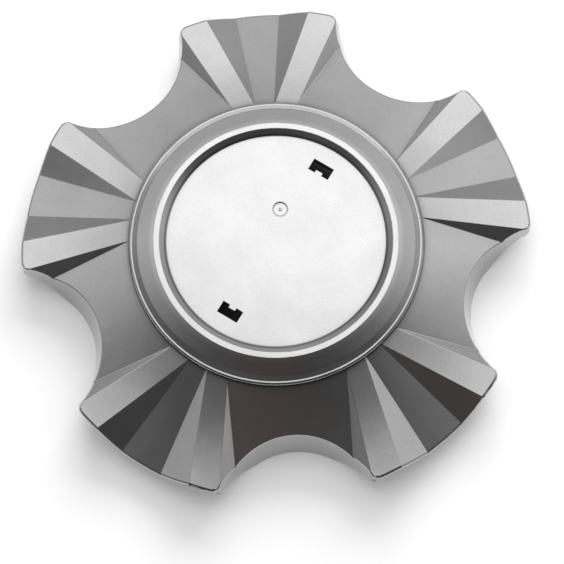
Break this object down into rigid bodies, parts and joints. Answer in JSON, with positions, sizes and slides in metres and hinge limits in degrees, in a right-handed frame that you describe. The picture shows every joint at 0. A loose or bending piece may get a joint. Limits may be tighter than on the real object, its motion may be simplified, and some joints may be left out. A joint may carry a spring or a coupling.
{
  "type": "wheel centre cap",
  "caption": "Moulded silver wheel centre cap: lobed star with ribs on each lobe, notches round the wheel nuts, an empty round badge seat, and clip legs with a spring ring beneath.",
  "frame": {"origin": "middle of the badge seat's floor, on the wheel's axis", "axes": "+Z out of the wheel's face along its axis, one lobe along +Y"},
  "size_m": [0.1386, 0.1357, 0.0172],
  "materials": {
    "silver_paint": "moulded plastic with bright metallic silver paint and clear lacquer",
    "spring_wire": "drawn spring wire, lightly oiled"
  },
  "bodies": {
    "root": {"cap_body": "silver_paint", "retaining_ring": "spring_wire"}
  },
  "joints": []
}
